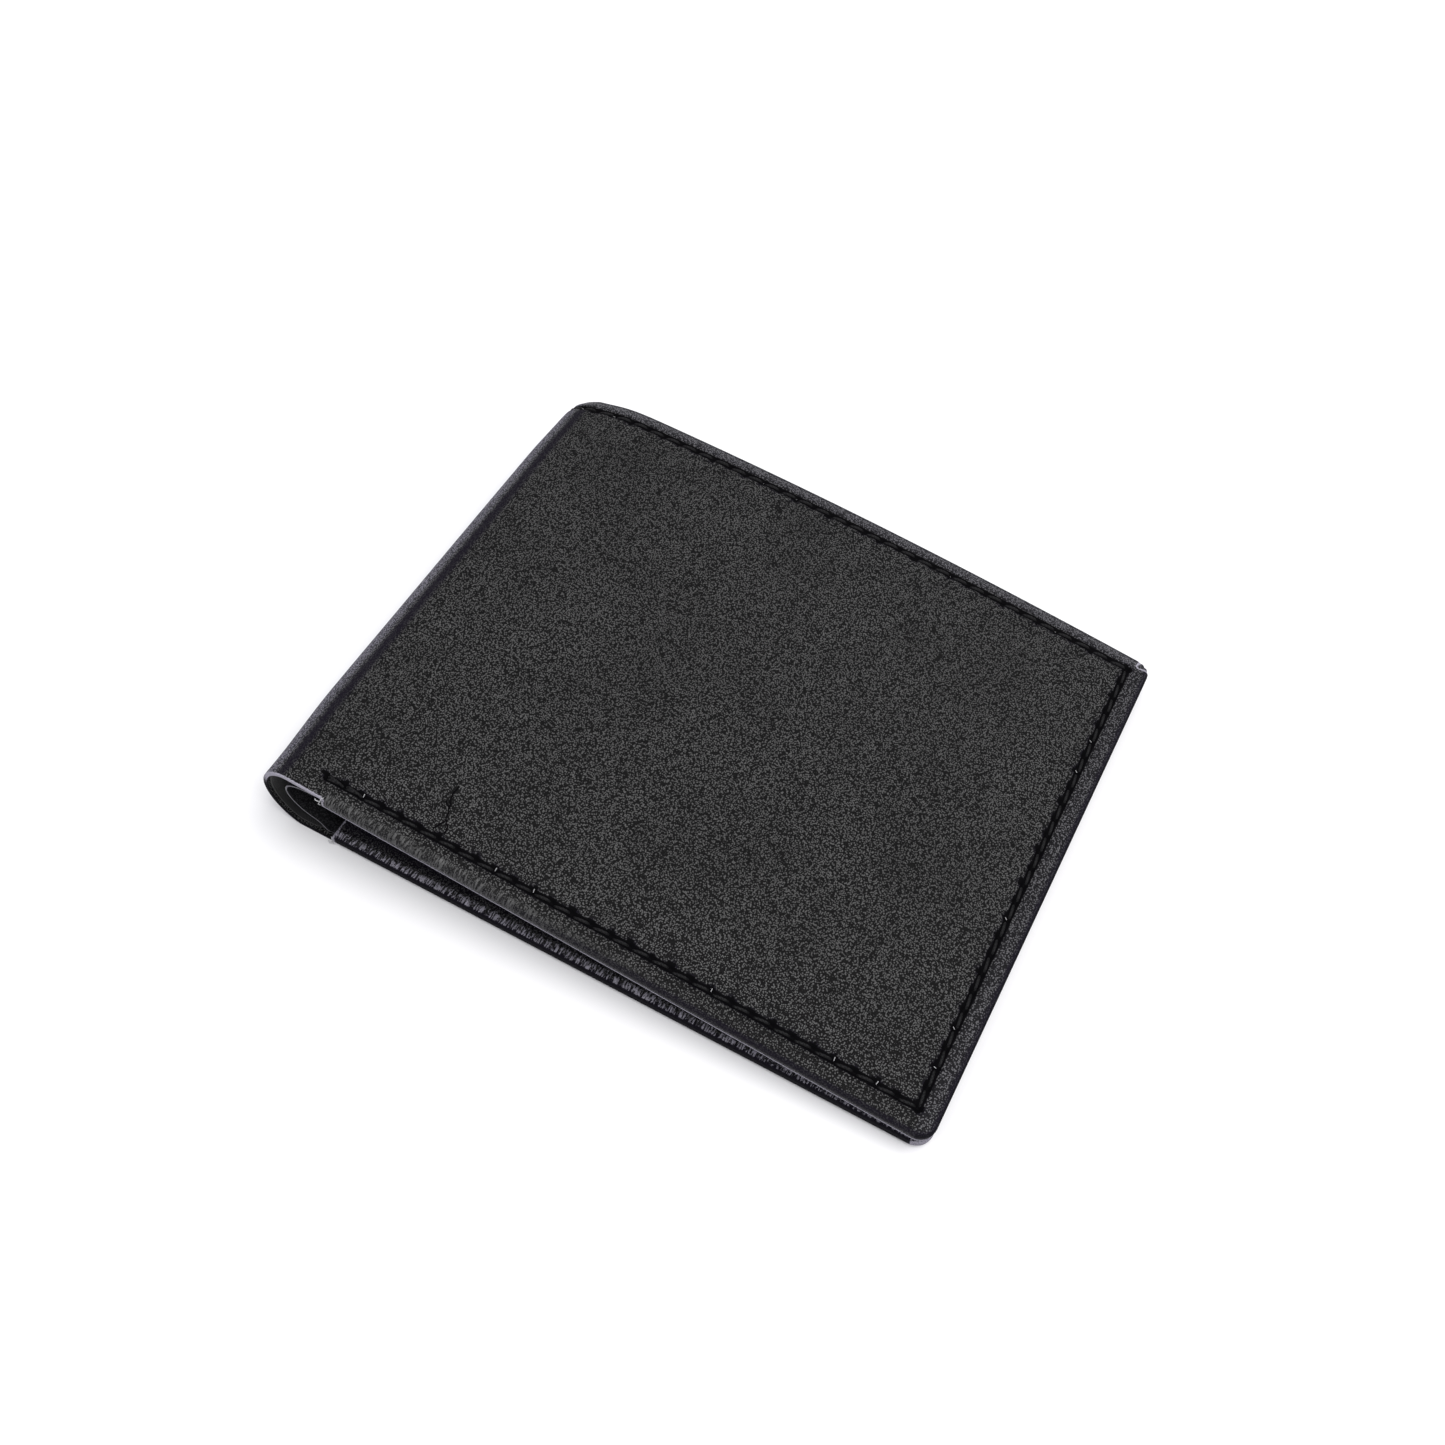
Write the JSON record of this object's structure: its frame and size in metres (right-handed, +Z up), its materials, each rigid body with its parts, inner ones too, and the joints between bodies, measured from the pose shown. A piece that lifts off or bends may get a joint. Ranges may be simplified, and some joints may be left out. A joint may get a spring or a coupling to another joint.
{
  "type": "bifold wallet",
  "caption": "Closed leather bifold wallet with stitched turned edges, a banknote compartment and card slots inside, hinged to open nearly flat round its fold.",
  "frame": {"origin": "middle of the closed wallet's footprint, on the plane that it lies on", "axes": "+X from the fold to the open side, +Y towards the banknote edge, +Z up through the thickness"},
  "size_m": [0.11, 0.089, 0.0143],
  "materials": {
    "outer_leather": "semi-matt fine pebble grain",
    "inner_leather": "matt smooth grain",
    "lining": "fine twill",
    "thread": "waxed polyester thread"
  },
  "bodies": {
    "back_half": {"outer_leather_back": "outer_leather", "outer_lining_back": "lining", "lower_hem_back": "outer_leather", "side_hem_back": "outer_leather", "top_hem_back": "outer_leather", "divider_back": "inner_leather", "inner_panel_back": "inner_leather", "card_slot_1_back": "inner_leather", "card_slot_2_back": "inner_leather", "card_slot_3_back": "inner_leather", "slot_fabric_1_back": "lining", "slot_fabric_2_back": "lining", "slot_fabric_3_back": "lining", "front_pocket_back": "inner_leather", "edge_thread_back": "thread", "top_thread_back": "thread", "panel_thread_back": "thread"},
    "spine": {"outer_leather_spine": "outer_leather", "outer_lining_spine": "lining", "top_hem_spine": "outer_leather", "divider_spine": "inner_leather", "top_thread_spine": "thread"},
    "front_half": {"outer_leather_front": "outer_leather", "outer_lining_front": "lining", "lower_hem_front": "outer_leather", "side_hem_front": "outer_leather", "top_hem_front": "outer_leather", "divider_front": "inner_leather", "inner_panel_front": "inner_leather", "card_slot_1_front": "inner_leather", "card_slot_2_front": "inner_leather", "card_slot_3_front": "inner_leather", "slot_fabric_1_front": "lining", "slot_fabric_2_front": "lining", "slot_fabric_3_front": "lining", "front_pocket_front": "inner_leather", "edge_thread_front": "thread", "top_thread_front": "thread", "panel_thread_front": "thread"}
  },
  "joints": [
    {"name": "back_fold", "type": "hinge", "parent": "back_half", "child": "spine", "pos_m": [-0.05363, 0, 0.00163], "axis": [0, -1, 0], "range_deg": [0, 90.5]},
    {"name": "front_fold", "type": "hinge", "parent": "spine", "child": "front_half", "pos_m": [-0.0531, 0, 0.01318], "axis": [0, -1, 0], "range_deg": [0, 90.5]}
  ],
  "couplings": [
    {"joint": "front_fold", "follows": "back_fold", "ratio": 1}
  ]
}
